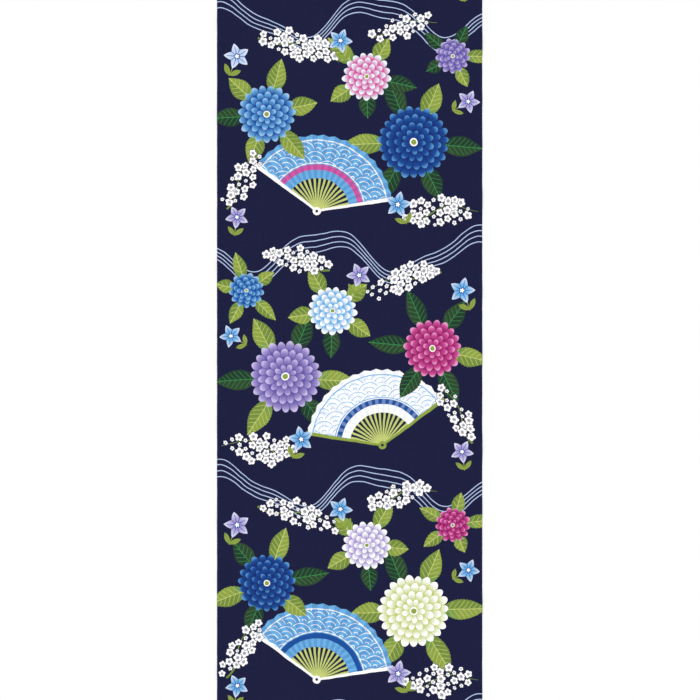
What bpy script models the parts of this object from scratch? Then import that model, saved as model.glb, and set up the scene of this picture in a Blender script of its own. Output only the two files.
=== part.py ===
"""A tenugui: one rectangle of thin plain-weave cotton, laid out flat with its printed face up.

The cloth is a single woven width with no hem and no sewn pieces. Its two long sides are selvedges, where
the weft turns back round the outermost warp, so those edges are rounded. Its two short ends are cut
straight across the warp, so those edges are square.

Units are metres and +Z is up. The origin is the middle of the underside, on the surface that the cloth
lies on. The cloth's width runs along X and its length along Y.
"""

import bmesh
import bpy

# Driving dimensions
CLOTH_WIDTH = 0.340
CLOTH_LENGTH = 0.900
# Room for the thin cloth and the slight rise and fall with which it lies
CLOTH_THICKNESS = 0.001
SELVEDGE_RADIUS = 0.0004
SELVEDGE_SEGMENTS = 4

PRINTED_COTTON = {
    "colour": (0.0152, 0.0160, 0.0529, 1.0),
    "roughness": 0.92,
    "metallic": 0.0,
}


def clear_scene():
    """Removes every object, so that the file starts empty."""
    for item in list(bpy.data.objects):
        bpy.data.objects.remove(item, do_unlink=True)


def make_material(name, finish):
    """A Principled material with the given colour, roughness and metallic value."""
    material = bpy.data.materials.new(name)
    material.use_nodes = True
    shader = material.node_tree.nodes["Principled BSDF"]
    shader.inputs["Base Color"].default_value = finish["colour"]
    shader.inputs["Roughness"].default_value = finish["roughness"]
    shader.inputs["Metallic"].default_value = finish["metallic"]
    return material


def runs_lengthwise(edge):
    """True for an edge that runs along the cloth's length, from one cut end to the other."""
    start, end = (vertex.co for vertex in edge.verts)
    return abs(end.y - start.y) > CLOTH_LENGTH / 2


def make_cloth(collection):
    """The flat rectangle of cloth, its long edges rounded as selvedges and its cut ends left square."""
    form = bmesh.new()
    bmesh.ops.create_cube(form, size=1.0)
    bmesh.ops.scale(form, vec=(CLOTH_WIDTH, CLOTH_LENGTH, CLOTH_THICKNESS), verts=form.verts)
    bmesh.ops.bevel(
        form,
        geom=[edge for edge in form.edges if runs_lengthwise(edge)],
        offset=SELVEDGE_RADIUS,
        segments=SELVEDGE_SEGMENTS,
        profile=0.5,
        affect="EDGES",
    )
    mesh = bpy.data.meshes.new("towel_cloth")
    form.to_mesh(mesh)
    form.free()

    cloth = bpy.data.objects.new("towel_cloth", mesh)
    cloth.location.z = CLOTH_THICKNESS / 2
    cloth.data.materials.append(make_material("printed_cotton", PRINTED_COTTON))
    collection.objects.link(cloth)
    return cloth


clear_scene()
tenugui = bpy.data.collections.new("tenugui")
bpy.context.scene.collection.children.link(tenugui)
make_cloth(tenugui)
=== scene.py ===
"""A tenugui laid out flat, printed face up: thin plain-weave cotton with selvedge sides and cut ends.

The print is a generic one: a repeat of folding fans, chrysanthemums, bellflowers, blossom twigs and lines
of running water on a navy ground. Sizes are in metres, and in the print's own formulas in millimetres.
"""

import math

import bmesh
import bpy
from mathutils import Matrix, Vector


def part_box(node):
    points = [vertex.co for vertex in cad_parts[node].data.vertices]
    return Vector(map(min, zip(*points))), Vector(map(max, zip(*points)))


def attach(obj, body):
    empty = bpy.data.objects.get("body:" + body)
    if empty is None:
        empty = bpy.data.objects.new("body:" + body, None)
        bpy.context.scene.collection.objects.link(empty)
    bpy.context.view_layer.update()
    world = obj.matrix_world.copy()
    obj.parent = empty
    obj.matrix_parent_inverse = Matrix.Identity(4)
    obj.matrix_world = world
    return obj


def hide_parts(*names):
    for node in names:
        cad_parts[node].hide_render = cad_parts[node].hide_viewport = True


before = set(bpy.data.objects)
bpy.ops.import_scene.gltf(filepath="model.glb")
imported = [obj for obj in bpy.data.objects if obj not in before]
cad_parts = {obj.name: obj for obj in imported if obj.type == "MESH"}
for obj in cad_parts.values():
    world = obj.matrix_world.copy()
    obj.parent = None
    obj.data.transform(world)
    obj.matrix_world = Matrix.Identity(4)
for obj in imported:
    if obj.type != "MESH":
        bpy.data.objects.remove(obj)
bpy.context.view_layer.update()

# The woven cloth
# One width of plain-weave cotton with no hem and nothing sewn on. It is about 0.4 mm thick, firmer along its
# two selvedges, and it lies on the surface with the slight rise and fall of a cloth smoothed out by hand.
CLOTH_LOW, CLOTH_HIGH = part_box("towel_cloth")
CLOTH_WIDTH = CLOTH_HIGH[0] - CLOTH_LOW[0]
CLOTH_LENGTH = CLOTH_HIGH[1] - CLOTH_LOW[1]
CLOTH_THICKNESS = 0.00040
SELVEDGE_THICKNESS = 0.00052
SELVEDGE_WIDTH = 0.005
# How far the cut yarns, the turned weft and a turned yarn's own thickness stand out past the woven body
YARN_END = 0.0008
SELVEDGE_TURN = 0.00025
TURN_ROOM = 0.0001
GRID_CELL = 0.004
SHARP_ANGLE = 40
# Where it stands off the surface: middle across, middle along, half length, half width, turn, height
SWELLS = (
    (-0.095, 0.345, 0.110, 0.032, 24, 0.0013),
    (0.080, 0.250, 0.140, 0.036, -30, 0.0017),
    (-0.070, 0.130, 0.120, 0.030, 8, 0.0012),
    (0.060, 0.010, 0.150, 0.040, 68, 0.0018),
    (-0.105, -0.080, 0.110, 0.034, 84, 0.0014),
    (0.100, -0.185, 0.120, 0.030, -12, 0.0015),
    (-0.050, -0.270, 0.150, 0.040, 20, 0.0019),
    (0.070, -0.385, 0.100, 0.030, -35, 0.0012),
)
# The ripples along a selvedge: their height, how far in they reach, and the radians to the metre of the two
# waves that make them
SELVEDGE_RIPPLE = 0.0005
RIPPLE_REACH = 0.03
RIPPLE_WAVES = (97, 61)
# How far in from a side and from a cut end the cloth comes down to the surface, and what is left at a side
SIDE_EASING = 0.05
END_EASING = 0.04
SIDE_LEFT = 0.15
# The little way that an edge strays from a straight line, in two waves too, and how far in that is felt
EDGE_STRAY = 0.00008
STRAY_WAVES = (61, 143)
SIDE_STRAY_REACH = CLOTH_WIDTH / 8
END_STRAY_REACH = CLOTH_LENGTH / 18


def eased(value):
    """A number kept from 0 to 1 and rounded off at both ends."""
    value = min(max(value, 0.0), 1.0)
    return value * value * (3 - 2 * value)


def rise(x, y):
    """How far the cloth's underside stands off the surface. It lies down on it at the cut ends."""
    height = 0.0
    for across, along, length, width, turn, top in SWELLS:
        lean = math.radians(turn)
        a = (x - across) * math.cos(lean) + (y - along) * math.sin(lean)
        b = (y - along) * math.cos(lean) - (x - across) * math.sin(lean)
        height += top * math.exp(-((a / length) ** 2) - (b / width) ** 2)
    to_end = CLOTH_LENGTH / 2 - abs(y)
    to_side = CLOTH_WIDTH / 2 - abs(x)
    height *= eased(to_side / SIDE_EASING + SIDE_LEFT)
    phase = 1.3 if x > 0 else 4.0
    ripple = math.sin(y * RIPPLE_WAVES[0] + phase) + math.sin(y * RIPPLE_WAVES[1] + 2 * phase)
    height += SELVEDGE_RIPPLE * max(ripple, 0.0) * eased(1 - to_side / RIPPLE_REACH)
    return height * eased(to_end / END_EASING)


def stray(along, seed):
    """How far in an edge strays, at a place along it."""
    long_wave = math.sin(along * STRAY_WAVES[0] + seed)
    return EDGE_STRAY * abs(long_wave + math.sin(along * STRAY_WAVES[1] + 2.3 * seed))


def cloth_point(x, y):
    """Where a point of the flat cut lies once the cloth is down. Its edges stray, and its middle doesn't."""
    near_side = eased(1 - (CLOTH_WIDTH / 2 - abs(x)) / SIDE_STRAY_REACH)
    near_end = eased(1 - (CLOTH_LENGTH / 2 - abs(y)) / END_STRAY_REACH)
    moved_x = x - near_side * stray(y, 1.0 if x > 0 else 2.6) * math.copysign(1.0, x)
    moved_y = y - near_end * stray(x, 4.1 if y > 0 else 5.7) * math.copysign(1.0, y)
    return Vector((moved_x, moved_y, rise(x, y)))


def plain_mesh(item):
    """Turns what an object's modifiers make into its own mesh, and drops the modifiers."""
    made = bpy.data.meshes.new_from_object(item.evaluated_get(bpy.context.evaluated_depsgraph_get()))
    item.modifiers.clear()
    item.data = made
    made.name = item.name
    return made


def new_object(name, mesh):
    """An object in the scene for a mesh."""
    item = bpy.data.objects.new(name, mesh)
    bpy.context.scene.collection.objects.link(item)
    return item


body_width = CLOTH_WIDTH - 2 * (SELVEDGE_TURN + TURN_ROOM)
body_length = CLOTH_LENGTH - 2 * YARN_END
form = bmesh.new()
columns, rows = round(body_width / GRID_CELL), round(body_length / GRID_CELL)
bmesh.ops.create_grid(form, x_segments=columns, y_segments=rows, size=0.5)
bmesh.ops.scale(form, vec=(body_width, body_length, 1.0), verts=form.verts)
selvedge = form.verts.layers.deform.verify()
for vertex in form.verts:
    to_side = body_width / 2 - abs(vertex.co.x)
    firm = 1 - eased((to_side - SELVEDGE_WIDTH) / GRID_CELL)
    vertex[selvedge][0] = (CLOTH_THICKNESS * (1 - firm) + SELVEDGE_THICKNESS * firm) / SELVEDGE_THICKNESS
    vertex.co = cloth_point(vertex.co.x, vertex.co.y)
cloth_mesh = bpy.data.meshes.new("tenugui_cloth")
form.to_mesh(cloth_mesh)
form.free()
cloth = new_object("tenugui_cloth", cloth_mesh)
cloth.vertex_groups.new(name="thickness")
solidify = cloth.modifiers.new("cloth thickness", "SOLIDIFY")
solidify.thickness = SELVEDGE_THICKNESS
solidify.offset = 1.0
solidify.use_even_offset = True
solidify.vertex_group = "thickness"
cloth_mesh = plain_mesh(cloth)
cloth_mesh.shade_smooth()
cloth_mesh.set_sharp_from_angle(angle=math.radians(SHARP_ANGLE))


# The print and the weave
# The print is dye in the cotton itself, so the yarns show through every motif. The motifs are laid in three
# rows, each turned over from the last, and their colourways change from row to row.
class Socket:
    """One output in a material's node tree. Arithmetic on it adds Math nodes."""

    def __init__(self, tree, output):
        self.tree = tree
        self.output = output

    def add(self, kind, settings, inputs, give=0):
        """A new node of a kind, its settings made first, then each input linked or set; gives one output."""
        node = self.tree.nodes.new(kind)
        for name, value in settings.items():
            if name == "stops":
                ramp = node.color_ramp
                ramp.interpolation = "CONSTANT"
                while len(ramp.elements) < len(value):
                    ramp.elements.new(0.5)
                for element, (position, colour) in zip(ramp.elements, value):
                    element.position = position
                    element.color = colour
            else:
                setattr(node, name, value)
        for key, value in inputs.items():
            if isinstance(value, Socket):
                self.tree.links.new(value.output, node.inputs[key])
            else:
                node.inputs[key].default_value = value
        return Socket(self.tree, node.outputs[give])

    def beside(self, give):
        """Another output of the same node."""
        return Socket(self.tree, self.output.node.outputs[give])

    def math(self, operation, *others):
        """A Math node on this value and the others."""
        return self.add("ShaderNodeMath", {"operation": operation}, dict(enumerate((self, *others))))

    def __add__(self, other):
        return self.math("ADD", other)

    __radd__ = __add__

    def __sub__(self, other):
        return self.math("SUBTRACT", other)

    def __rsub__(self, other):
        return self.math("MULTIPLY_ADD", -1.0, other)

    def __mul__(self, other):
        return self.math("MULTIPLY", other)

    __rmul__ = __mul__

    def __truediv__(self, other):
        return self.math("DIVIDE", other)

    def __neg__(self):
        return self.math("MULTIPLY", -1.0)

    def __abs__(self):
        return self.math("ABSOLUTE")

    def scaled(self, by, plus):
        """This value times one number plus another."""
        return self.math("MULTIPLY_ADD", by, plus)

    def sin(self):
        return self.math("SINE")

    def cos(self):
        return self.math("COSINE")

    def sqrt(self):
        return self.math("SQRT")

    def floor(self):
        return self.math("FLOOR")

    def fract(self):
        return self.math("FRACT")

    def mod(self, divisor):
        return self.math("FLOORED_MODULO", divisor)

    def power(self, exponent):
        return self.math("POWER", exponent)

    def angle(self, other):
        return self.math("ARCTAN2", other)

    def most(self, other):
        return self.math("MAXIMUM", other)

    def below(self, limit):
        return self.math("LESS_THAN", limit)


def ink(red, green, blue):
    """A dye's colour as a shader takes it, from the 0 to 255 values it has to show."""
    parts = [value / 255 for value in (red, green, blue)]
    return (*[p / 12.92 if p <= 0.04045 else ((p + 0.055) / 1.055) ** 2.4 for p in parts], 1.0)


# The dyes
NAVY = ink(26, 28, 60)
WHITE = ink(252, 252, 250)
MIST = ink(222, 230, 244)
PALE = ink(182, 200, 234)
SKY = ink(105, 170, 221)
ROYAL = ink(28, 78, 152)
DEEP = ink(22, 46, 112)
MAGENTA = ink(208, 84, 155)
PLUM = ink(146, 30, 98)
PINK = ink(240, 186, 220)
LAVENDER = ink(165, 150, 205)
LILAC = ink(212, 204, 236)
VIOLET = ink(96, 84, 158)
LIME = ink(138, 157, 69)
MOSS = ink(113, 137, 60)
STRAW = ink(190, 200, 116)
FOREST = ink(46, 70, 46)
PINE = ink(35, 60, 45)
GREEN = ink(58, 132, 74)
# Millimetres in a metre, and the print's own sizes in millimetres
MILLIMETRES = 1000.0
HALF_WIDTH = CLOTH_WIDTH * MILLIMETRES / 2
HALF_LENGTH = CLOTH_LENGTH * MILLIMETRES / 2
PRINT_ROWS = 3
COLOURWAYS = 3
REPEAT = CLOTH_LENGTH * MILLIMETRES / PRINT_ROWS
DYE_EDGE = 0.2


def mix(under, over, mask):
    """Lays one colour over another where the mask is 1."""
    return mask.add("ShaderNodeMix", {"data_type": "RGBA"}, {0: mask, 6: under, 7: over}, give=2)


def pick(way, colours):
    """One of three colours, by which colourway a motif is in."""
    stops = [(place / COLOURWAYS, colour) for place, colour in enumerate(colours)]
    return way.add("ShaderNodeValToRGB", {"stops": stops}, {0: way})


def inside(distance, edge=DYE_EDGE):
    """A mask that is 1 where distance is negative, with an edge as soft as dye leaves on cotton."""
    settings = {"interpolation_type": "SMOOTHSTEP", "clamp": False}
    return distance.add("ShaderNodeMapRange", settings, {0: distance, 1: edge, 2: -edge})


def placed(u, v, across, along, turn=0.0):
    """The cloth's coordinates about a motif's own middle, and which of the three colourways it is in."""
    row = (v - along).scaled(1 / REPEAT, 0.5).floor()
    flip = row.mod(2.0).scaled(-2.0, 1.0)
    x = (u - HALF_WIDTH) * flip - (across - HALF_WIDTH)
    y = v - along - row * REPEAT
    if turn:
        c, s = math.cos(math.radians(turn)), math.sin(math.radians(turn))
        x, y = x * c + y * s, y * c - x * s
    return x, y, row.mod(COLOURWAYS).scaled(1 / COLOURWAYS, 1 / (2 * COLOURWAYS))


def polar(x, y):
    """Distance from a motif's middle, and the angle from its top."""
    return (x * x + y * y).sqrt(), x.angle(y)


def chance(number, seed):
    """A number from 0 to 1 that looks random, the same for the same number and seed."""
    # Uneven factors, so that numbers that are close come out far apart
    return number.scaled(12.9898, seed * 4.137).sin().scaled(43.758, 0.0).fract()


def folded(angle, count, start=0.0):
    """An angle cut into count equal parts: which part it is in, and how far from that part's middle."""
    turns = angle.scaled(count / (2 * math.pi), start)
    return turns.floor().mod(count), turns.fract() - 0.5


def grouped(draw):
    """Gives what a drawing function adds a node group of its own, so that each tree stays short."""

    def drawn(*values):
        group = bpy.data.node_groups.new(draw.__name__, "ShaderNodeTree")
        sockets = [value for value in values if isinstance(value, Socket)]
        for place, socket in enumerate(sockets):
            kind = "NodeSocketColor" if socket.output.type == "RGBA" else "NodeSocketFloat"
            group.interface.new_socket(f"value {place}", in_out="INPUT", socket_type=kind)
        group.interface.new_socket("paint", in_out="OUTPUT", socket_type="NodeSocketColor")
        entries = iter(group.nodes.new("NodeGroupInput").outputs)
        within = [Socket(group, next(entries)) if isinstance(value, Socket) else value for value in values]
        made = draw(*within)
        group.links.new(made.output, group.nodes.new("NodeGroupOutput").inputs[0])
        return sockets[0].add("ShaderNodeGroup", {"node_tree": group}, dict(enumerate(sockets)))

    return drawn


# Running water: each wave's height, length and start, and the lines' number, half width and spacing, with how
# much and over what length that spacing changes
WATER_WAVES = ((24, 190, 0.6), (6, 83, 1.9))
WATER_LINES = 4
LINE_HALF_WIDTH = 0.55
LINE_SPACING = 6.2
SPACING_CHANGE = 1.5
CHANGE_LENGTH = 260


@grouped
def stream(paint, u, v, along):
    """Lines of running water that swing across every repeat."""
    row = (v - along).scaled(1 / REPEAT, 0.5).floor()
    x = (u - HALF_WIDTH) * row.mod(2.0).scaled(-2.0, 1.0)
    y = v - along - row * REPEAT
    # A long wave and a short one are laid together
    bend, slope = 0.0, 0.0
    for height, length, start in WATER_WAVES:
        turn = x.scaled(2 * math.pi / length, start)
        bend = turn.sin() * height + bend
        slope = turn.cos() * (height * 2 * math.pi / length) + slope
    # The lines draw apart and together again as they go
    spacing = x.scaled(2 * math.pi / CHANGE_LENGTH, 0.0).sin().scaled(SPACING_CHANGE, LINE_SPACING)
    place = (y - bend) / spacing
    near = abs(place.fract() - 0.5) * spacing / (slope * slope + 1.0).sqrt()
    lines = inside(near - LINE_HALF_WIDTH) * inside(abs(place) - WATER_LINES / 2, 0.02)
    return mix(paint, PALE, lines)


# A leaf: how far it may lean, as a share of its part of the ring, how much its length varies, how full its
# foot is and how much less full its tip, and the length of its teeth
LEAF_LEAN = 0.30
LENGTH_CHANGE = 18.0
FOOT_FULLNESS = 1.18
TIP_LESS_FULL = 0.36
TOOTH_LENGTH = 4.0
# Its side veins' spacing, slant, half width and distance from its edge, and its midrib's half width
VEIN_SPACING = 6.5
VEIN_SLANT = 0.8
VEIN_HALF_WIDTH = 0.36
VEIN_MARGIN = 1.6
MIDRIB_HALF_WIDTH = 0.5


@grouped
def leaves(paint, r, a, way, start, end, count, half_width, seed, dark_share):
    """A ring of toothed leaves round a flower, some of them in its shade."""
    part, off = folded(a, count, seed)
    luck = chance(part + way * 7.0, seed)
    # Each leaf leans a little, and has a length of its own
    bend = (off + luck.scaled(LEAF_LEAN, -LEAF_LEAN / 2)) * (2 * math.pi / count)
    along = r * bend.cos() - start
    across = r * bend.sin()
    reach = chance(part + way * 5.0, seed + 3.0).scaled(LENGTH_CHANGE, end - start - LENGTH_CHANGE / 2)
    # It is widest below its middle, and its edge has a tooth every few millimetres
    s = along / reach
    m = s.scaled(2.0, -1.0)
    tooth = along.scaled(1 / TOOTH_LENGTH, 0.0).fract()
    width = (1 - m * m) * (s.scaled(-TIP_LESS_FULL * half_width, FOOT_FULLNESS * half_width) + tooth)
    aside = abs(across)
    shape = inside(aside - width) * inside(-along) * inside(along - reach)
    # Side veins slant from the midrib towards the tip, and stop short of the edge
    rib = abs((along - aside * VEIN_SLANT).scaled(1 / VEIN_SPACING, 0.0).fract() - 0.5)
    vein = inside(rib.scaled(VEIN_SPACING, -VEIN_HALF_WIDTH))
    vein = vein * inside(aside.scaled(1.0, VEIN_MARGIN) - width)
    vein = vein.most(inside(aside - MIDRIB_HALF_WIDTH))
    # A lit leaf is greener at its foot, and any leaf is darker on one side of its midrib
    dark = luck.below(dark_share)
    lower = inside(across)
    lit = mix(mix(GREEN, LIME, s.scaled(2.2, 0.1)), MOSS, lower)
    leaf = mix(lit, mix(FOREST, PINE, lower), dark)
    leaf = mix(leaf, mix(STRAW, GREEN, dark), vein)
    return mix(paint, leaf, shape)


def scale_distance(x, y, radius):
    """How far a point is from the middle of the wave scale that shows there, in radii."""
    x, y = x * (1 / radius), y * (1 / radius)
    row = (y * 2).floor()
    up = y - row * 0.5
    odd = row.mod(2.0)
    beside = (x - odd).scaled(0.5, 0.5).fract().scaled(2.0, -1.0)
    between = (x + odd).scaled(0.5, 0.0).fract().scaled(2.0, -1.0)
    apart = between * between
    here = (beside * beside + up * up).sqrt()
    above = (apart + (up - 0.5) * (up - 0.5)).sqrt()
    below = (apart + (up + 0.5) * (up + 0.5)).sqrt()
    shown = above + (here - above) * here.below(1.0)
    return shown + (below - shown) * below.below(1.0)


# A folding fan: how far from the pivot its leaf ends and starts, half its spread, its pleats, how far its rim
# dips between them and how deep their shade is, and the wave scales' radius, rings and half line width
FAN_REACH = 98.0
FAN_ROOT = 42.0
HALF_SPREAD = math.radians(67)
PLEATS = 15
RIM_DIP = 2.2
PLEAT_SHADE = 0.30
SCALE_RADIUS = 17.0
SCALE_RINGS = 3
SCALE_LINE = 0.45
# Across its leaf, the middle and half depth of the field of scales, of the band and of the two lines. The
# middles and the field's half depth are shares of the reach
FAN_FIELD = (0.77, 0.15)
FAN_BAND = (0.575, 3.4)
FAN_LINES = ((0.628, 0.6), (0.925, 0.7))
# Half width of a stick and of a guard: what it gains with each millimetre outward, and what it starts from
STICK_WIDTH = (0.018, 0.7)
GUARD_WIDTH = (0.012, 1.3)
GUARD_TIP = 0.8
PIVOT_RADIUS = 5.2
PIN_RADIUS = 1.8


@grouped
def fan(paint, u, v, across, along, turn):
    """A folding fan, pivot down: bamboo sticks, a pleated leaf with wave scales, and two guards."""
    x, y, way = placed(u, v, across, along, turn)
    r, a = polar(x, y)
    # Bamboo sticks, one to a pleat
    pleat = 2 * HALF_SPREAD / PLEATS
    f = a.scaled(1 / pleat, 0.5).fract() - 0.5
    side = (abs(a) - HALF_SPREAD) * r
    spread = inside(side)
    stick = inside(abs(f) * r * pleat - r.scaled(*STICK_WIDTH)) * inside(r - FAN_ROOT)
    paint = mix(paint, STRAW, stick * spread)
    # The leaf: a field of wave scales, a band below it, and a line along both edges of the field
    line = pick(way, (WHITE, SKY, WHITE))
    rings = abs(scale_distance(x, y, SCALE_RADIUS).scaled(SCALE_RINGS, 0.0).fract() - 0.5)
    middle, half_depth = FAN_FIELD
    field = inside(abs(r - middle * FAN_REACH) - half_depth * FAN_REACH)
    scales = inside(rings.scaled(SCALE_RADIUS / SCALE_RINGS, -SCALE_LINE)) * field
    paper = mix(pick(way, (SKY, WHITE, SKY)), line, scales)
    middle, half_depth = FAN_BAND
    paper = mix(paper, pick(way, (ROYAL, ROYAL, MAGENTA)), inside(abs(r - middle * FAN_REACH) - half_depth))
    for middle, half_depth in FAN_LINES:
        paper = mix(paper, line, inside(abs(r - middle * FAN_REACH) - half_depth))
    # One side of each pleat is in shade, and the rim follows the pleats
    paper = mix(paper, pick(way, (ROYAL, PALE, ROYAL)), inside(-f, 0.01) * PLEAT_SHADE)
    rim = FAN_REACH - abs(f) * (2 * RIM_DIP)
    paint = mix(paint, paper, inside(r - rim) * inside(FAN_ROOT - r) * spread)
    # A guard down each side, and the pivot that they share
    guard = inside(abs(side) - r.scaled(*GUARD_WIDTH)) * inside(r - (FAN_REACH + GUARD_TIP))
    paint = mix(paint, pick(way, (WHITE, LIME, WHITE)), guard.most(inside(r - PIVOT_RADIUS)))
    return mix(paint, NAVY, inside(r - PIN_RADIUS))


# A twig: its bend and its half length, as shares of its spray's half width and half length, its half width in
# the middle, and how much more and less that is at its two ends
TWIG_BEND = 0.35
TWIG_REACH = 1.05
TWIG_HALF_WIDTH = 0.75
TWIG_TAPER = 0.5


@grouped
def twig(paint, u, v, across, along, turn, length, width):
    """The thin bent twig that a spray of blossoms grows on."""
    x, y, way = placed(u, v, across, along, turn)
    bend = x.scaled(math.pi / length, 0.8).sin() * (width * TWIG_BEND)
    taper = x.scaled(-TWIG_TAPER / length, TWIG_HALF_WIDTH)
    return mix(paint, MOSS, inside(abs(y - bend) - taper) * inside(abs(x) - length * TWIG_REACH))


# Blossoms, in spacings: their rows' height, the range in which one strays, the least size and what may be
# added to it. Some of them are only half open
RANK_HEIGHT = 0.866
BLOSSOM_STRAY = 0.12
BLOSSOM_SIZE = 0.255
SIZE_CHANGE = 0.09
HALF_OPEN_SHARE = 0.3
# The depth of the notches between their petals, their eye and heart in shares of their size, their outline
PETAL_NOTCH = 1.35
BLOSSOM_EYE = 0.40
BLOSSOM_HEART = 0.20
BLOSSOM_OUTLINE = 0.7
# How far the rows and columns of blossoms bend, and over what lengths
RANK_BEND = 2.6
BEND_LENGTHS = (19, 23)


@grouped
def blossoms(paint, u, v, cell, aside, upward, sprays):
    """Little five-petalled blossoms, some barely open, one to a cell, kept where a spray of them grows."""
    # Offset rows of cells, bent a little so that they don't line up
    rank = RANK_HEIGHT * cell
    bent_u = u + v.scaled(1 / BEND_LENGTHS[0], aside).sin() * RANK_BEND
    bent_v = v + u.scaled(1 / BEND_LENGTHS[1], upward).sin() * RANK_BEND
    row = bent_v.scaled(1 / rank, upward).floor()
    step = row.mod(2.0) * 0.5
    column = (bent_u * (1 / cell) + step + aside).floor()
    luck = chance(column * 1.31 + row * 3.77, aside + 1.0)
    other = chance(column * 2.17 + row * 1.13, aside + 2.0)
    least = 0.5 - BLOSSOM_STRAY / 2
    middle_u = (column - step + luck.scaled(BLOSSOM_STRAY, least - aside)) * cell
    middle_v = (row + other.scaled(BLOSSOM_STRAY, least - upward)) * rank
    # A blossom is kept whole where its middle is inside a spray's oval
    kept = None
    for across, along, turn, length, width in sprays:
        x, y, way = placed(middle_u, middle_v, across, along, turn)
        x, y = x * (1 / length), y * (1 / width)
        here = (x * x + y * y).below(1.0)
        kept = here if kept is None else kept.most(here)
    r, a = polar(bent_u - middle_u, bent_v - middle_v)
    part, side = folded(a + luck * 6.0, 5)
    opened = chance(column * 1.73 + row * 2.39, aside + upward + 3.0).below(HALF_OPEN_SHARE).scaled(-0.5, 1.0)
    size = other.scaled(SIZE_CHANGE * cell, BLOSSOM_SIZE * cell) * opened
    edge = r - size * (1 - side * side * PETAL_NOTCH)
    paint = mix(paint, NAVY, inside(edge - BLOSSOM_OUTLINE) * kept)
    flower = mix(WHITE, LAVENDER, inside(r - size * BLOSSOM_EYE) * 0.85)
    flower = mix(flower, LIME, inside(r - size * BLOSSOM_HEART))
    return mix(paint, flower, inside(edge) * kept)


# A chrysanthemum, in shares of its size: how much smaller each ring is than the last, a petal's length, how
# much shorter one may be, and the radius of the heart's white and of its lime
RING_STEP = 0.21
PETAL_LENGTH = 0.30
PETAL_SHORTER = 0.05
HEART_WHITE = 0.11
HEART_LIME = 0.075
# By what share of a petal each ring is turned from the last, how round a petal's tip is, and the dark gaps
# beside it and round it
RING_TURN = 0.37
TIP_ROUNDING = 0.9
SIDE_GAP = 0.45
TIP_GAP = 0.6


@grouped
def chrysanthemum(paint, r, a, way, size, counts, tones):
    """A many-petalled flower head, laid ring upon ring, each petal deep at its root and light at its tip."""
    light, tone, dark = (pick(way, column) for column in tones)
    for ring, count in enumerate(counts):
        outer = size * (1 - RING_STEP * ring)
        length = size * PETAL_LENGTH
        part, off = folded(a, count, RING_TURN * ring)
        f = abs(off) * 2
        # Round tips, some petals a little shorter than others
        half = math.pi * outer / count
        tip = outer - chance(part, ring + 2.0) * (PETAL_SHORTER * size) - f * f * (half * TIP_ROUNDING)
        # From its dark root through its own tone to its light tip
        grade = r.scaled(1 / length, 1 - outer / length)
        petal = mix(dark, tone, grade.scaled(1.5, -0.05))
        petal = mix(petal, light, grade.scaled(2.0, -1.1))
        # Dark gaps between petals, and round the tips of all but the outermost ring
        gap = inside(r * f.scaled(-math.pi / count, math.pi / count) - SIDE_GAP)
        if ring:
            gap = gap.most(inside(tip - r - TIP_GAP))
        petal = mix(petal, dark, gap)
        paint = mix(paint, petal, inside(r - tip))
    paint = mix(paint, WHITE, inside(r - size * HEART_WHITE))
    return mix(paint, LIME, inside(r - size * HEART_LIME))


# A bellflower, in shares of its size: its stem's length, how far down its leaves start, their length and half
# width, how far out its petals are joined, and where a petal's vein starts and ends
BELL_STEM = 1.6
BELL_LEAF_START = 1.55
BELL_LEAF_LENGTH = 0.95
BELL_LEAF_HALF_WIDTH = 0.1875
BELL_JOINED = 0.54
BELL_VEIN = (0.26, 0.78)
# Its throat and heart, in shares of the way to a petal's edge, and how pointed its petals are
BELL_THROAT = 0.32
BELL_HEART = 0.20
BELL_POINT = 1.35
# Half widths of its stem, its leaves' midribs, its petals' veins and their edges
STEM_HALF_WIDTH = 0.55
BELL_MIDRIB = 0.4
BELL_VEIN_HALF_WIDTH = 0.35
BELL_EDGE_HALF_WIDTH = 0.4


@grouped
def bellflower(paint, u, v, across, along, turn, size, tones):
    """A five-pointed bellflower on a short stem with a pair of narrow leaves."""
    x, y, way = placed(u, v, across, along, turn)
    # The stem, and a leaf to each side of its foot
    beside = abs(x)
    half_stem = size * BELL_STEM / 2
    stem = inside(beside - STEM_HALF_WIDTH) * inside(abs(y + half_stem) - half_stem)
    drop = y + size * BELL_LEAF_START
    up = (beside + drop) * (math.sqrt(0.5) / (size * BELL_LEAF_LENGTH))
    off = abs(beside - drop) * math.sqrt(0.5)
    leaf = inside(off - up * (1 - up) * (4 * size * BELL_LEAF_HALF_WIDTH))
    paint = mix(paint, LIME, leaf.most(stem))
    paint = mix(paint, MOSS, leaf * inside(off - BELL_MIDRIB))
    # Five pointed petals, joined near the middle, each with a vein
    r, a = polar(x, y)
    part, side = folded(a, 5)
    f = abs(side) * 2
    gap = 1 - f
    edge = gap.power(BELL_POINT).scaled((1 - BELL_JOINED) * size, BELL_JOINED * size)
    petal = mix(pick(way, tones), MIST, r.scaled(1.5 / size, -0.6))
    arc = r * (math.pi / 5)
    start, end = (size * share for share in BELL_VEIN)
    vein = inside(f * arc - BELL_VEIN_HALF_WIDTH) * inside(abs(r - (start + end) / 2) - (end - start) / 2)
    vein = vein.most(inside(gap * arc - BELL_EDGE_HALF_WIDTH))
    petal = mix(petal, ROYAL, vein.most(inside(r - edge * BELL_THROAT)))
    petal = mix(petal, WHITE, inside(r - edge * BELL_HEART))
    return mix(paint, petal, inside(r - edge))


# Places on the print are in millimetres from the left selvedge, and up from the lower end of each repeat
WATER_HEIGHT = 270
# The fan: its pivot across, its pivot along, turn
FAN = (128, 28, -14)
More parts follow.
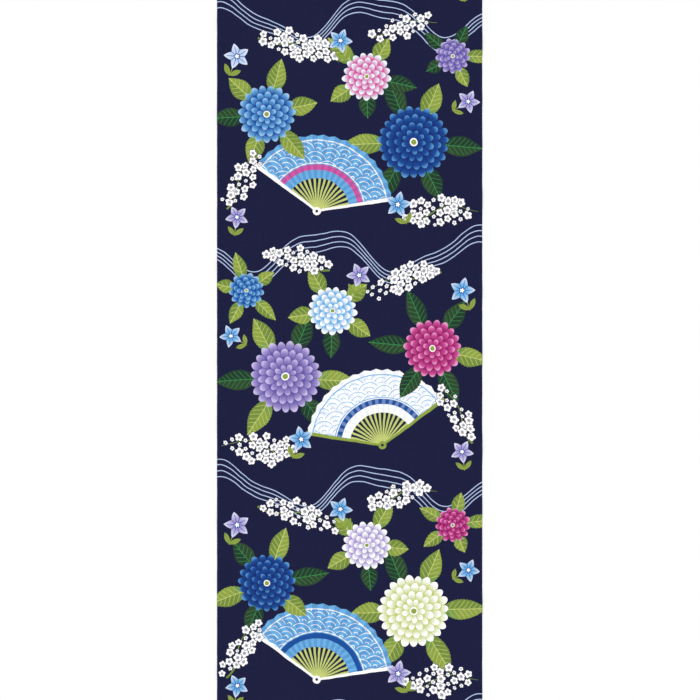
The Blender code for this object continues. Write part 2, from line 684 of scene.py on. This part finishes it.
# Each chrysanthemum: middle across, middle along, size, petals in each ring, and its light, middle and dark
# tones in each colourway
CHRYSANTHEMUMS = {
    "large": (
        252, 116, 47.0, (23, 19, 13, 9),
        ((WHITE, LILAC, SKY), (WHITE, LAVENDER, ROYAL), (STRAW, VIOLET, DEEP)),
    ),
    "middle": (
        64, 152, 38.0, (19, 15, 11, 7),
        ((SKY, PINK, PALE), (ROYAL, MAGENTA, SKY), (DEEP, PLUM, ROYAL)),
    ),
    "white": (
        192, 200, 32.0, (17, 13, 9, 6),
        ((WHITE, WHITE, WHITE), (WHITE, WHITE, MIST), (LAVENDER, SKY, MAGENTA)),
    ),
    "small": (
        302, 226, 23.0, (13, 10, 7, 5),
        ((PINK, PALE, LILAC), (MAGENTA, SKY, LAVENDER), (PLUM, ROYAL, VIOLET)),
    ),
}
# The leaves round each: where they start and end, how many, half width, seed, share in the shade
LEAVES = {
    "large": (34, 88, 6, 12.5, 2.0, 0.45),
    "middle": (26, 74, 6, 11.5, 9.2, 0.35),
    "white": (22, 62, 5, 10.5, 14.1, 0.45),
    "small": (14, 47, 5, 8.0, 4.3, 0.30),
}
# Each spray of blossoms: middle across, middle along, turn, half length, half width
SPRAYS = (
    (106, 238, -16, 52, 17),
    (238, 264, 12, 42, 15),
    (286, 26, 8, 46, 19),
    (32, 70, 60, 42, 15),
)
# The blossoms' spacing, and how far each of their three layers is moved aside and upward, in spacings
BLOSSOM_SPACING = 17.5
BLOSSOM_LAYERS = ((0.0, -2 / 3), (0.0, 0.0), (0.5, -1 / 3))
# Each bellflower: middle across, middle along, turn, size, its colour in each colourway
BELLFLOWERS = (
    (158, 246, 14, 16, (SKY, LAVENDER, SKY)),
    (26, 226, -22, 17, (LAVENDER, SKY, PALE)),
    (322, 168, -60, 15, (SKY, SKY, LAVENDER)),
    (232, 36, 24, 17, (LAVENDER, SKY, SKY)),
    (26, 20, -8, 15, (SKY, LAVENDER, LAVENDER)),
)


def printed(u, v):
    """The whole print, from the navy ground up to the topmost flowers."""
    heads = {}
    for name, (across, along, *_) in CHRYSANTHEMUMS.items():
        x, y, way = placed(u, v, across, along)
        heads[name] = (*polar(x, y), way)
    paint = stream(NAVY, u, v, WATER_HEIGHT)
    for name in ("large", "small"):
        paint = leaves(paint, *heads[name], *LEAVES[name])
    paint = fan(paint, u, v, *FAN)
    for name in ("middle", "white"):
        paint = leaves(paint, *heads[name], *LEAVES[name])
    for spray in SPRAYS:
        paint = twig(paint, u, v, *spray)
    for aside, upward in BLOSSOM_LAYERS:
        paint = blossoms(paint, u, v, BLOSSOM_SPACING, aside, upward, SPRAYS)
    for name, (_, _, *flower) in CHRYSANTHEMUMS.items():
        paint = chrysanthemum(paint, *heads[name], *flower)
    for flower in BELLFLOWERS:
        paint = bellflower(paint, u, v, *flower)
    return paint


# The weave's own sizes, in millimetres: its yarns' pitch, the edge of the selvedge's ribs, how far dye bleeds
# along a yarn, and how far and over what lengths the print sways
YARN_PITCH = 0.5
RIB_EDGE = 0.5
YARN_BLEED = 0.09
PRINT_SWAY = 1.6
SWAY_LENGTHS = (22, 17)
# How fast warp and weft yarns change, to the millimetre across and along, and how far that shifts the weave
YARN_CHANGES = ((0.55, 1 / 60, 1), (1 / 50, 0.50, 1))
YARN_SHIFT = 1.5
# Painted shade in the weave's hollows and painted light on its yarns' crests; the thick places' lighter tone
# is the yarns' own
# How light the hollows between yarns are, and how much lighter the yarns' crests and thick places are
HOLLOW_PAINTED_SHADE = 0.83
CREST_PAINTED_LIGHT = 0.24
SLUB_LIGHT = 0.22
# The underside's colours are the print's to this power, which makes them paler
DYE_THROUGH = 0.6
# How deep the weave's relief is, in metres, and how much of it shows
RELIEF = 0.00016
RELIEF_STRENGTH = 0.8
# How rough the hollows between yarns are, and how much smoother the yarns' crests
HOLLOW_ROUGHNESS = 0.96
CREST_POLISH = 0.10


def cotton_material(name):
    """The printed cotton, its print and its weave both placed by where a point lies on the cloth."""
    material = bpy.data.materials.new(name)
    material.use_nodes = True
    tree = material.node_tree
    shader = tree.nodes["Principled BSDF"]
    facing = Socket(tree, None).add("ShaderNodeTexCoord", {}, {}, give=1)
    millimetres = {0: facing.beside(3), 3: MILLIMETRES}
    flat = facing.add("ShaderNodeVectorMath", {"operation": "SCALE"}, millimetres)
    across = facing.add("ShaderNodeSeparateXYZ", {}, {0: flat})
    along = across.beside(1)

    # Uneven spun yarns, woven one over and one under
    slubs = []
    for stretch in YARN_CHANGES:
        drawn = facing.add("ShaderNodeVectorMath", {"operation": "MULTIPLY"}, {0: flat, 1: stretch})
        slubs.append(facing.add("ShaderNodeTexNoise", {"noise_dimensions": "2D"}, {0: drawn, 2: 1.0, 3: 2.0}))
    warp, weft = (
        (place.scaled(math.pi / YARN_PITCH, 0.0) + slub * YARN_SHIFT).sin()
        for place, slub in zip((across, along), slubs)
    )
    crossing = warp * weft
    yarns = (abs(warp) + crossing).most(abs(weft) - crossing) * 0.5
    uneven = slubs[0] + slubs[1] - 1.0

    # Along each selvedge the warp is crowded, so that it hides the weft and stands up in fine ribs
    from_side = abs(across).scaled(-1.0, HALF_WIDTH - SELVEDGE_WIDTH * MILLIMETRES)
    yarns = yarns + inside(from_side, RIB_EDGE) * (abs(warp) - yarns) * 0.7

    # The screen's edges waver a little, and the dye's own edge follows the yarns
    sway, lean = (
        facing.add("ShaderNodeTexNoise", {"noise_dimensions": "2D"}, {0: flat, 2: 1 / length, 3: 1.0})
        for length in SWAY_LENGTHS
    )
    bleed = crossing * YARN_BLEED
    u = across + sway.scaled(PRINT_SWAY, HALF_WIDTH - PRINT_SWAY / 2) + bleed
    v = along + lean.scaled(PRINT_SWAY, HALF_LENGTH - PRINT_SWAY / 2) + bleed
    paint = printed(u, v)

    normal = facing.add("ShaderNodeSeparateXYZ", {}, {0: facing}, give=2)
    paler = facing.add("ShaderNodeGamma", {}, {0: paint, 1: DYE_THROUGH})
    paint = mix(paint, paler, normal.below(-0.5))
    # Painted shade in the weave's hollows, painted light on its crests and the yarns' own uneven tone, laid
    # over the print
    depth = yarns.scaled(CREST_PAINTED_LIGHT, HOLLOW_PAINTED_SHADE) + uneven * SLUB_LIGHT
    weave_shade_and_tone = facing.add("ShaderNodeCombineColor", {}, {0: depth, 1: depth, 2: depth})
    settings = {"data_type": "RGBA", "blend_type": "MULTIPLY"}
    paint = facing.add("ShaderNodeMix", settings, {0: 1.0, 6: paint, 7: weave_shade_and_tone}, give=2)

    relief = {"Strength": RELIEF_STRENGTH, "Distance": RELIEF, "Height": yarns + uneven}
    relief = facing.add("ShaderNodeBump", {}, relief)
    rough = yarns.scaled(-CREST_POLISH, HOLLOW_ROUGHNESS)
    tree.links.new(paint.output, shader.inputs["Base Color"])
    tree.links.new(rough.output, shader.inputs["Roughness"])
    tree.links.new(relief.output, shader.inputs["Normal"])
    shader.inputs["Specular IOR Level"].default_value = 0.05
    shader.inputs["Sheen Weight"].default_value = 0.05
    shader.inputs["Sheen Roughness"].default_value = 0.5
    return material


cotton = cotton_material("printed_cotton_dyed")
cloth.data.materials.clear()
cloth.data.materials.append(cotton)
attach(cloth, "root")
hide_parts("towel_cloth")


# The yarns at the edges
# The warp is simply cut at the two ends, so its yarns stand out there by less than a millimetre, each a
# little its own way. Along the selvedges the weft turns back in small loops round the outermost warp.
YARN_THICKNESS = 0.00026


def edge_line(name, height, flat_edges):
    """An object of plain edges that follow edges of the laid cloth, given by their points on the flat cut."""
    points, lines = [], []
    for flat_edge in flat_edges:
        first = len(points)
        points += [cloth_point(x, y) + Vector((0.0, 0.0, height)) for x, y in flat_edge]
        lines += [(place, place + 1) for place in range(first, len(points) - 1)]
    mesh = bpy.data.meshes.new(name)
    mesh.from_pydata(points, lines, [])
    return new_object(name, mesh)


def edge_tree(name, add_yarn, outward, least_turn, most_turn, least_size, most_size):
    """Geometry Nodes that set one yarn after another along an object's edges, each turned a little.

    outward is the axis that points out of the cloth there. The turns are in radians, and the sizes in shares.
    """
    tree = bpy.data.node_groups.new(name, "GeometryNodeTree")
    given = (
        ("Edges", "NodeSocketGeometry"),
        ("Spacing", "NodeSocketFloat"),
        ("Reach", "NodeSocketFloat"),
        ("Yarn radius", "NodeSocketFloat"),
        ("Yarn material", "NodeSocketMaterial"),
        ("Seed", "NodeSocketInt"),
    )
    for label, kind in given:
        tree.interface.new_socket(label, in_out="INPUT", socket_type=kind)
    tree.interface.new_socket("Geometry", in_out="OUTPUT", socket_type="NodeSocketGeometry")
    start = Socket(tree, tree.nodes.new("NodeGroupInput").outputs[0])
    spacing, reach, radius, material, seed = (start.beside(place) for place in range(1, 6))
    line = start.add("GeometryNodeMeshToCurve", {}, {"Mesh": start})
    line = start.add("GeometryNodeResampleCurve", {"mode": "LENGTH"}, {"Curve": line, "Length": spacing})
    ring = start.add("GeometryNodeCurvePrimitiveCircle", {}, {"Resolution": 5, "Radius": radius})
    yarn = add_yarn(start, reach)
    yarn = start.add("GeometryNodeCurveToMesh", {}, {"Curve": yarn, "Profile Curve": ring, "Fill Caps": True})
    place = start.add("GeometryNodeInputPosition", {}, {})
    place = start.add("ShaderNodeSeparateXYZ", {}, {0: place}, give=outward)
    half_turn = start.add("ShaderNodeCombineXYZ", {}, {2: place.below(0.0) * math.pi})
    vector = {"data_type": "FLOAT_VECTOR"}
    turn = start.add("FunctionNodeRandomValue", vector, {0: least_turn, 1: most_turn, "Seed": seed})
    turn = start.add("ShaderNodeVectorMath", {"operation": "ADD"}, {0: half_turn, 1: turn})
    size = start.add("FunctionNodeRandomValue", vector, {0: least_size, 1: most_size, "Seed": seed})
    settled = {"Points": line, "Instance": yarn, "Rotation": turn, "Scale": size}
    set_out = start.add("GeometryNodeInstanceOnPoints", {}, settled)
    joined = start.add("GeometryNodeRealizeInstances", {}, {"Geometry": set_out})
    smooth = start.add("GeometryNodeSetShadeSmooth", {}, {"Geometry": joined})
    finished = start.add("GeometryNodeSetMaterial", {}, {"Geometry": smooth, "Material": material})
    tree.links.new(finished.output, tree.nodes.new("NodeGroupOutput").inputs[0])
    return tree


def set_yarns(item, tree, values):
    """Runs a tree on an object with the named values, and keeps what it makes as a plain mesh."""
    modifier = item.modifiers.new("yarns", "NODES")
    modifier.node_group = tree
    for socket in tree.interface.items_tree:
        if socket.name in values:
            modifier[socket.identifier] = values[socket.name]
    plain_mesh(item)
    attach(item, "root")
    return item


def cut_yarn(start, reach):
    """A short, slightly bent length of yarn that points along +Y from inside the cloth."""
    back = start.add("ShaderNodeCombineXYZ", {}, {1: reach * -0.6})
    bend = start.add("ShaderNodeCombineXYZ", {}, {0: reach * 0.12, 1: reach * 0.5})
    tip = start.add("ShaderNodeCombineXYZ", {}, {1: reach, 2: reach * -0.03})
    points = {"Resolution": 3, "Start": back, "Middle": bend, "End": tip}
    return start.add("GeometryNodeCurveQuadraticBezier", {}, points)


def turned_yarn(start, reach):
    """A half loop of yarn that bulges along +X."""
    shape = {"Resolution": 5, "Radius": reach, "Start Angle": -math.pi / 2, "Sweep Angle": math.pi}
    return start.add("GeometryNodeCurveArc", {"mode": "RADIUS"}, shape)


end_y = body_length / 2
side_x = body_width / 2
across_steps = [side_x * (2 * column / columns - 1) for column in range(columns + 1)]
along_steps = [end_y * (2 * row / rows - 1) for row in range(rows + 1)]
cut_edges = [[(x, y) for x in across_steps] for y in (-end_y, end_y)]
woven_edges = [[(x, y) for y in along_steps] for x in (-side_x, side_x)]
cut_tree = edge_tree(
    "cut warp ends",
    cut_yarn,
    outward=1,
    least_turn=(-0.03, -0.2, -0.40),
    most_turn=(0.12, 0.2, 0.40),
    least_size=(0.8, 0.55, 0.8),
    most_size=(1.0, 1.05, 1.0),
)
cut_ends = set_yarns(
    edge_line("cut_end_yarns", CLOTH_THICKNESS / 2, cut_edges),
    cut_tree,
    {
        "Spacing": YARN_PITCH / MILLIMETRES,
        "Reach": YARN_END,
        "Yarn radius": YARN_THICKNESS / 2,
        "Yarn material": cotton,
        "Seed": 4,
    },
)
turn_tree = edge_tree(
    "weft turns",
    turned_yarn,
    outward=0,
    least_turn=(-0.2, -0.1, -0.05),
    most_turn=(0.2, 0.1, 0.05),
    least_size=(0.8, 0.9, 0.9),
    most_size=(1.0, 1.1, 1.0),
)
turns = set_yarns(
    edge_line("selvedge_turns", SELVEDGE_THICKNESS / 2, woven_edges),
    turn_tree,
    {
        "Spacing": 2 * YARN_PITCH / MILLIMETRES,
        "Reach": SELVEDGE_TURN,
        "Yarn radius": YARN_THICKNESS / 2,
        "Yarn material": cotton,
        "Seed": 9,
    },
)

# The studio
# A plain pale floor in a light tent, brightest round its foot, with one large soft lamp above and to a side.
# The camera is straight above the cloth, whose length fills the frame from top to bottom.
FLOOR_REACH = 40.0
FLOOR_WHITE = (0.82, 0.82, 0.82, 1.0)
floor_mesh = bpy.data.meshes.new("studio_floor")
form = bmesh.new()
bmesh.ops.create_grid(form, x_segments=1, y_segments=1, size=FLOOR_REACH)
form.to_mesh(floor_mesh)
form.free()
floor = new_object("studio_floor", floor_mesh)
floor_finish = bpy.data.materials.new("white_paper")
floor_finish.use_nodes = True
floor_shader = floor_finish.node_tree.nodes["Principled BSDF"]
floor_shader.inputs["Base Color"].default_value = FLOOR_WHITE
floor_shader.inputs["Roughness"].default_value = 1.0
floor_shader.inputs["Specular IOR Level"].default_value = 0.0
floor_mesh.materials.append(floor_finish)

# The tent's brightness from its foot up, and the heights between which it changes, as shares of straight up
TENT_FOOT = 1.0
TENT_TOP = 0.62
TENT_CHANGE = (0.20, 0.45)
world = bpy.data.worlds.new("light_tent")
world.use_nodes = True
bpy.context.scene.world = world
direction = Socket(world.node_tree, None).add("ShaderNodeTexCoord", {}, {})
height = direction.add("ShaderNodeSeparateXYZ", {}, {0: direction}, give=2)
settings = {"interpolation_type": "SMOOTHSTEP", "clamp": False}
change = {0: height, 1: TENT_CHANGE[0], 2: TENT_CHANGE[1], 3: TENT_FOOT, 4: TENT_TOP}
glow = height.add("ShaderNodeMapRange", settings, change)
backdrop = world.node_tree.nodes["Background"]
backdrop.inputs["Color"].default_value = (1.0, 1.0, 1.0, 1.0)
world.node_tree.links.new(glow.output, backdrop.inputs["Strength"])

LAMP_STRENGTH = 2.46
LAMP_SPREAD = 30
LAMP_LEAN = (-34, -30, 0)
lamp = bpy.data.lights.new("soft_lamp", "SUN")
lamp.energy = LAMP_STRENGTH
lamp.angle = math.radians(LAMP_SPREAD)
soft_lamp = bpy.data.objects.new("soft_lamp", lamp)
soft_lamp.rotation_euler = [math.radians(lean) for lean in LAMP_LEAN]
bpy.context.scene.collection.objects.link(soft_lamp)

LENS = 100.0
# The frame cuts two millimetres off each end of the cloth, and its middle is a little right of the cloth's
END_CUT = 0.0020
SEEN_LENGTH = CLOTH_LENGTH - 2 * END_CUT
FRAME_OFFSET = 0.0005
lens = bpy.data.cameras.new("camera")
lens.lens = LENS
camera = bpy.data.objects.new("camera", lens)
half_view = math.atan(lens.sensor_width / 2 / LENS)
camera.location = (FRAME_OFFSET, 0.0, CLOTH_THICKNESS + SEEN_LENGTH / 2 / math.tan(half_view))
bpy.context.scene.collection.objects.link(camera)
bpy.context.scene.camera = camera
bpy.context.scene.view_settings.view_transform = "Standard"
